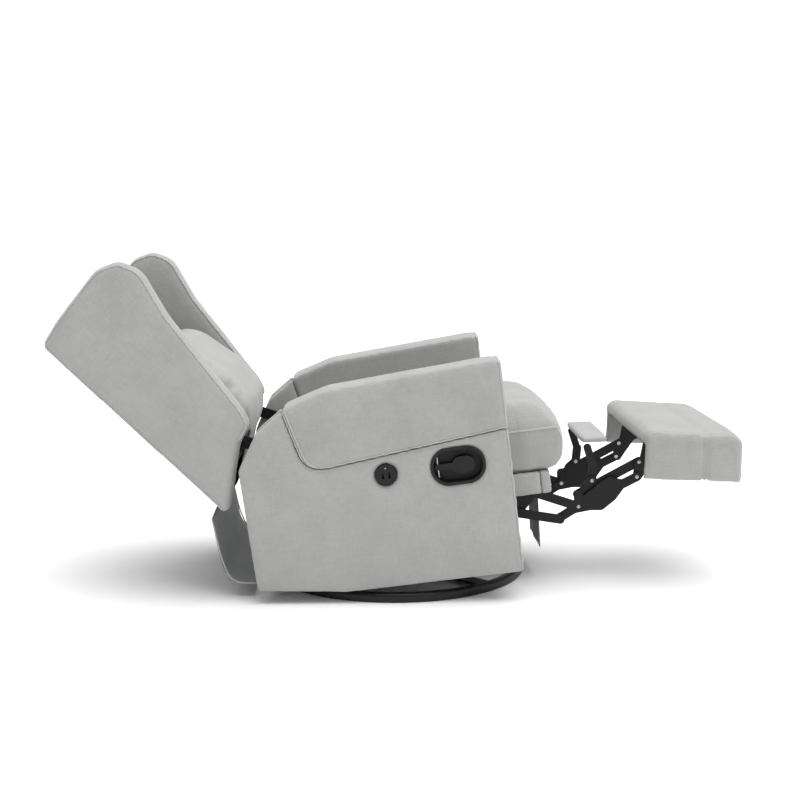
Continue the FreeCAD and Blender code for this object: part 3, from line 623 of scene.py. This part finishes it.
def grown(name, paths, made_tree, body, slot, **values):
    """A piece made by a node tree on open paths (or single points), riding on a body."""
    tree, sockets = made_tree
    mesh = bpy.data.meshes.new(name)
    verts, edges = [], []
    for path in paths:
        start = len(verts)
        verts += [tuple(p) for p in path]
        edges += [(start + i, start + i + 1) for i in range(len(path) - 1)]
    mesh.from_pydata(verts, edges, [])
    obj = new_object(name, mesh)
    modifier = obj.modifiers.new("made", "NODES")
    modifier.node_group = tree
    for label, value in values.items():
        modifier[sockets[label]] = value
    bake_modifiers(obj)
    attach(obj, body)
    return obj


def piping(name, paths, body, radius=PIPING):
    return grown(name, paths, PIPING_TREE, body, "upholstery", Radius=radius, Finish=PIPING_CLOTH)


def stitches(name, paths, body):
    return grown(name, paths, STITCH_TREE, body, "upholstery", Finish=THREAD)


def on_surface(path, piece, lift=0.0, reach=0.03):
    """Drop each point of a path onto the nearest place of a finished piece."""
    dropped = []
    for point in path:
        found, place, normal, face = piece.closest_point_on_mesh(point, distance=reach)
        dropped.append(place + normal * lift if found else point)
    return dropped


def closed_strip(name, near, far, material):
    """Closed thin form between two grids of places, edges and all."""
    rows, columns = len(near), len(near[0])
    verts = [tuple(place) for layer in (near, far) for row in layer for place in row]

    def at(layer, r, c):
        return (layer * rows + r) * columns + c
    faces = []
    for layer in (0, 1):
        for r in range(rows - 1):
            for c in range(columns - 1):
                faces.append((at(layer, r, c), at(layer, r, c + 1), at(layer, r + 1, c + 1),
                              at(layer, r + 1, c)))
    border = [(0, c) for c in range(columns - 1)] + [(r, columns - 1) for r in range(rows - 1)]
    border += [(rows - 1, c) for c in range(columns - 1, 0, -1)] + [(r, 0) for r in range(rows - 1, 0, -1)]
    for first, second in zip(border, border[1:] + border[:1]):
        faces.append((at(0, *first), at(0, *second), at(1, *second), at(1, *first)))
    mesh = bpy.data.meshes.new(name)
    mesh.from_pydata(verts, [], faces)
    shape = bmesh.new()
    shape.from_mesh(mesh)
    bmesh.ops.recalc_face_normals(shape, faces=shape.faces)
    shape.to_mesh(mesh)
    shape.free()
    shade_smooth(mesh)
    return new_object(name, mesh, material)


# ---------------------------------------------------------------- arms
def make_arm(side, name):
    outer = side * ARM_OUTER
    limit = sorted((side * (ARM_INNER - 0.001), side * (ARM_OUTER + 0.007)))
    panel = soft_piece("arm_side_" + name, "side_panel_" + name, CLOTH["seat"], voxel=0.006,
                       crown=0.004, fall=0.06, pull=0.002, wrinkle=0.0016, side_limit=limit)
    pad = soft_piece("arm_top_" + name, "arm_pad_" + name, CLOTH["seat"], voxel=0.006,
                     crown=0.007, fall=0.04, pull=0.0025, wrinkle=0.0014, side_limit=limit)
    inside = soft_piece("arm_inside_" + name, "arm_lining_" + name, CLOTH["seat"], voxel=0.006,
               crown=0.003, fall=0.06, pull=0.003, side_limit=limit)

    pad_loop = outline_loop("arm_pad_" + name, outer)
    front_low = on_seat(outer, 321, 407)
    front_top = on_seat(outer, 318, 574)
    rear_top = on_seat(outer, -228, 521)
    seam = softened(stretch_of(pad_loop, front_low, rear_top, on_seat(outer, -100, 366)))
    front_edge = softened(stretch_of(pad_loop, front_low, front_top, on_seat(outer, 321, 500)))
    inner_loop = outline_loop("arm_pad_" + name, side * ARM_INNER)
    inner_front = softened(stretch_of(inner_loop, on_seat(side * ARM_INNER, 321, 407),
                                      on_seat(side * ARM_INNER, 318, 574),
                                      on_seat(side * ARM_INNER, 321, 500)))
    over = softened([front_edge[-1], (front_edge[-1] + inner_front[-1]) / 2 + Vector((0, 0, 0.002)),
                     inner_front[-1]], 1)
    rear_part = [p for p in seam if p.y > on_seat(0, -165, 360).y]
    second = [p + Vector((side * 0.0005, -0.0085, 0.001)) for p in rear_part]
    piping("arm_piping_" + name, [on_surface(path, pad, PIPING_LIFT) for path in
                                  (seam, second, front_edge, inner_front, resampled(over, 0.006))],
           "seat_body")

    panel_loop = outline_loop("side_panel_" + name, outer)
    hem_front = on_seat(outer, 321, 39)
    edge = softened(stretch_of(panel_loop, hem_front, front_low, on_seat(outer, 321, 250)))
    lining_loop = outline_loop("arm_lining_" + name, side * ARM_INNER)
    inner_edge = softened(stretch_of(lining_loop, on_seat(side * ARM_INNER, 321, 39),
                                     on_seat(side * ARM_INNER, 321, 407),
                                     on_seat(side * ARM_INNER, 321, 250)))
    piping("arm_front_piping_" + name, [on_surface(edge, panel, PIPING_LIFT),
                                        on_surface(inner_edge, inside, PIPING_LIFT)], "seat_body")
    beside = [p + Vector((0, 0, -0.009)) for p in seam]
    beside = [p for p in beside if p.z < on_seat(0, -262, 440).z]
    stitches("arm_stitches_" + name, [on_surface(resampled(beside, 0.006), panel, 0.0004)], "seat_body")
    make_arm_edge(side, name)
    return panel, pad


def make_arm_edge(side, name):
    """Facing that closes the hollow of the arm along its front, its hem and its rear."""
    outer = side * ARM_OUTER
    path = softened(stretch_of(outline_loop("side_panel_" + name, outer), on_seat(outer, 321, 405),
                               on_seat(outer, -233, 518), on_seat(outer, -120, 45)))
    middle = on_seat(outer, 0, 250)
    first, last = ARM_INNER + 0.004, ARM_OUTER - 0.004
    columns = 12
    layers = ([], [])
    for i, place in enumerate(path):
        ahead = path[min(i + 1, len(path) - 1)] - path[max(i - 1, 0)]
        inward = Vector((0, -ahead.z, ahead.y)).normalized()
        if inward.dot(middle - place) < 0:
            inward = -inward
        room_for_wing = 0.011 * min(1.0, max(0.0, (place.y - 0.22) / 0.05))
        for rows, depth, bulge in zip(layers, (0.0025, 0.0105), (0.0035, 0.0)):
            row = []
            for c in range(columns + 1):
                share = c / columns
                wave = 0.0006 * noise(place * 14.0 + Vector((share * 2, 0, 0)))
                sunk = depth - bulge * math.sin(math.pi * share) + wave + room_for_wing
                spot = place + inward * sunk
                row.append(Vector((side * (first + (last - first) * share), spot.y, spot.z)))
            rows.append(row)
    obj = closed_strip("arm_edge_" + name, *layers, CLOTH["seat"])
    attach(obj, "seat_body")


# ---------------------------------------------------------------- back
def make_back():
    for side, name in ((-1, "right"), (1, "left")):
        limit = sorted((side * (WING_INNER - 0.004), side * (WING_OUTER + 0.008)))
        wing = soft_piece("back_wing_" + name, "wing_" + name, CLOTH["back"], voxel=0.006, crown=0.008,
                   fall=0.05, pull=0.0025, wrinkle=0.0016, side_limit=limit)
        paths = []
        for x in (side * WING_OUTER, side * WING_INNER):
            loop = outline_loop("wing_" + name, x)
            path = softened(stretch_of(loop, on_back(x, 96, 160), on_back(x, 6, 2),
                                       on_back(x, 600, 150)), 4)
            paths.append(on_surface(path, wing, PIPING_LIFT))
        piping("wing_piping_" + name, paths, "back")
    soft_piece("outer_back_cover", "outer_back", CLOTH["back"], voxel=0.006, crown=0.003, fall=0.08,
               pull=0.001)
    limit = (-WING_INNER + 0.002, WING_INNER - 0.002)
    lumbar = soft_piece("lumbar_cushion", "back_cushion", CLOTH["back"], voxel=0.009, crown=0.004,
                        fall=0.06, pull=0.003, pressure=4.0, cap=0.012, side_limit=limit,
                        wrinkle=0.002, finer=True)
    head = soft_piece("head_pillow", "head_cushion", CLOTH["back"], voxel=0.009, crown=0.004,
                      fall=0.05, pull=0.003, pressure=4.0, cap=0.008, side_limit=limit,
                      wrinkle=0.002, finer=True)
    make_back_top()
    return lumbar, head


def make_back_top():
    """Cloth facing over the top of the back, from the outer cover to the head pillow."""
    line = softened(resampled([on_back(0, 590, 3), on_back(0, 597, 12), on_back(0, 599, 60),
                               on_back(0, 592, 100), on_back(0, 580, 112)], 0.006), 4)
    reach, columns = WING_INNER - 0.002, 48
    layers = ([], [])
    for i, place in enumerate(line):
        ahead = line[min(i + 1, len(line) - 1)] - line[max(i - 1, 0)]
        across = Vector((0, -ahead.z, ahead.y)).normalized()
        for rows, depth in zip(layers, (0.0, 0.006)):
            rows.append([place - across * depth + Vector((reach * (2 * c / columns - 1), 0, 0))
                         for c in range(columns + 1)])
    obj = closed_strip("back_top_facing", *layers, CLOTH["back"])
    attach(obj, "back")


# ---------------------------------------------------------------- seat and footrest
def make_seat():
    cushion = soft_piece("seat_pad", "seat_cushion", CLOTH["seat"], voxel=0.009, crown=0.003, fall=0.06,
                         pull=0.003, pressure=4.0, cap=0.010, side_limit=(-0.2565, 0.2565),
                         wrinkle=0.0018, finer=True, bow=0.022)
    soft_piece("seat_side_border", "seat_rails", CLOTH["seat"], voxel=0.005, crown=0.001, fall=0.03,
               pull=0.001)
    soft_piece("seat_border", "seat_front_rail", CLOTH["seat"], voxel=0.004, crown=0.0015, fall=0.03,
               pull=0.001)
    paths = []
    for side in (-1, 1):
        x = side * CUSHION_SIDE
        loop = outline_loop("seat_cushion", x)
        path = stretch_of(loop, on_seat(x, 150, 384), on_seat(x, 440, 270), on_seat(x, 470, 330))
        paths.append(on_surface(softened(path, 4), cushion, 0.0005))
    piping("seat_piping", paths, "seat", 0.0026)
    return cushion


def make_footrest():
    across = Vector((0, -1, 0))
    rows = [(Vector((0, y, 0)), across, 0.0045, 0.0035) for y in (-0.7675, -0.7785)]
    cover = soft_piece("footrest_pad", "footrest_cover", CLOTH["foot"], voxel=0.0055, crown=0.006,
                       fall=0.035, pull=0.004, wrinkle=0.0014,
                       grooves=rows)
    flipper = soft_piece("flipper_pad", "flipper_board", CLOTH["foot"], voxel=0.004, crown=0.002,
                         fall=0.02, pull=0.0015)
    return cover, flipper


# ---------------------------------------------------------------- hanging cloth
def hanging_sheet(name, node, profile, half_width, thickness, ripple):
    """A thin closed sheet swept across the chair along a side profile of places."""
    line = softened(resampled(profile, 0.006), 6)
    columns = max(8, int(2 * half_width / 0.008))
    layers = ([], [])
    for r, place in enumerate(line):
        ahead = line[min(r + 1, len(line) - 1)] - line[max(r - 1, 0)]
        across = Vector((0, -ahead.z, ahead.y)).normalized()
        share = r / (len(line) - 1)
        for rows, side in zip(layers, (-0.5, 0.5)):
            row = []
            for c in range(columns + 1):
                x = -half_width + 2 * half_width * c / columns
                wave = ripple * share * math.sin(x * 47.0 + 1.3) * (0.6 + 0.4 * math.sin(x * 13.0))
                row.append(place + Vector((x, 0, 0)) + across * (wave + thickness * side))
            rows.append(row)
    # the lining colour is darker than the upholstery: painted shade
    obj = closed_strip(name, *layers, LINING_PAINTED_SHADE)
    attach(obj, node_body[node])
    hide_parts(node)
    return obj


def make_cloths():
    rear = [(-353, 82), (-386, 85), (-405, 90), (-420, 106), (-432, 137), (-439, 262)]
    hanging_sheet("rear_lining", "rear_apron", [on_seat(0, f, u) for f, u in rear],
                  REAR_LINING_SIDE, 0.0024, 0.0006)
    hem = softened([on_seat(0, f, u) for f, u in rear], 1)
    hem = softened(resampled(hem, 0.006), 6)
    piping("rear_lining_edge", [[p + Vector((side * REAR_LINING_SIDE, 0, 0)) for p in hem]
                                for side in (-1, 1)], "seat_body", 0.0018)
    front = [(403.5, 205), (400, 140), (396, 80), (392.5, 29)]
    hanging_sheet("front_lining", "front_flap", [on_seat(0, f, u) for f, u in front],
                  0.104, 0.002, 0.0015)
    under = [(17, 15), (18, 61), (52, 113.5), (87.5, 182.7)]
    hanging_sheet("back_under_lining", "back_lining", [on_back(0, a, f) for a, f in under],
                  0.241, 0.002, 0.0004)


# ---------------------------------------------------------------- small hardware
def make_rivets():
    """Heads on the outermost link at each pivot of the footrest linkage."""
    def outer_face(plane):
        return (LINK_STACK + plane * LINK_PITCH + LINK_THICKNESS) / 1000

    heads = {
        "seat": [((378.4, 195.0), outer_face(5)), ((327.4, 147.0), outer_face(6))],
        "leg_rear": [((500.0, 137.0), outer_face(4))],
        "leg_front": [((662.0, 195.0), outer_face(3))],
        "footrest": [((673.0, 233.0), outer_face(2))],
        "leg_upper": [((545.0, 198.0), outer_face(1))],
    }
    for body, rows in heads.items():
        points = []
        for (forward, up), reach in rows:
            for side in (-1, 1):
                points.append([on_seat(side * (reach + 0.0002), forward, up)])
        grown("rivets_" + body, points, RIVET_TREE, body, "bare_steel", Radius=0.0046, Height=0.0012,
              Finish=ZINC)


def make_port_light():
    place = on_seat(-0.3582, 9, 346)
    grown("port_light", [[place]], RIVET_TREE, "seat_body", "black_plastic", Radius=0.0016,
          Height=0.0006, Finish=LIGHT_DOT)


LIGHT_DOT = hard_material("pale_indicator", (0.62, 0.62, 0.60), (0.75, 0.75, 0.73), 0.35)

make_arm(-1, "right")
make_arm(1, "left")
make_back()
make_seat()
make_footrest()
make_cloths()
make_rivets()
make_port_light()


# ---------------------------------------------------------------- floor, light and camera
def make_studio():
    scene = bpy.context.scene
    scene.view_settings.view_transform = "Standard"
    mesh = bpy.data.meshes.new("floor")
    mesh.from_pydata([(-9, -9, 0), (9, -9, 0), (9, 9, 0), (-9, 9, 0)], [], [(0, 1, 2, 3)])
    floor = new_object("floor", mesh)
    material, tree, shader, vector = start_material("pale_floor")
    grained = put_group(tree, GRAIN, vector, Grain_scale=30.0, Scuff_scale=3.0)
    tree.links.new(colour_ramp(tree, grained.outputs["Scuff"], (0.93, 0.93, 0.93), (0.95, 0.95, 0.95)),
                   shader.inputs["Base Color"])
    shader.inputs["Roughness"].default_value = 0.7
    shader.inputs["Specular IOR Level"].default_value = 0.1
    mesh.materials.append(material)
    floor.location.z = -0.0002

    world = bpy.data.worlds.new("studio")
    scene.world = world
    world.use_nodes = True
    tree = world.node_tree
    background = tree.nodes["Background"]
    background.inputs["Color"].default_value = (1, 1, 1, 1)
    path = tree.nodes.new("ShaderNodeLightPath")
    strength = tree.nodes.new("ShaderNodeMapRange")
    strength.inputs["To Min"].default_value = 0.42
    strength.inputs["To Max"].default_value = 1.1
    tree.links.new(path.outputs["Is Camera Ray"], strength.inputs["Value"])
    tree.links.new(strength.outputs[0], background.inputs["Strength"])

    for name, direction, spread, strength in (("overhead", (0.05, -0.12, 1.0), 75, 3.6),
                                              ("front", (-0.9, -1.5, 1.3), 60, 0.45)):
        lamp = bpy.data.lights.new(name, "SUN")
        lamp.angle = math.radians(spread)
        lamp.energy = strength
        made = bpy.data.objects.new(name, lamp)
        scene.collection.objects.link(made)
        made.location = Vector(direction) * 4
        made.rotation_euler = (-Vector(direction)).to_track_quat("-Z", "Y").to_euler()

    camera = bpy.data.cameras.new("camera")
    camera.lens = 62.13
    camera.sensor_width = 36.0
    made = bpy.data.objects.new("camera", camera)
    scene.collection.objects.link(made)
    made.location = (-3.6887, 0.1206, 1.0024)
    turn, down = math.radians(1.97), math.radians(8.329)
    aim = Vector((math.cos(turn) * math.cos(down), -math.sin(turn) * math.cos(down), -math.sin(down)))
    made.rotation_euler = aim.to_track_quat("-Z", "Y").to_euler()
    scene.camera = made


make_studio()
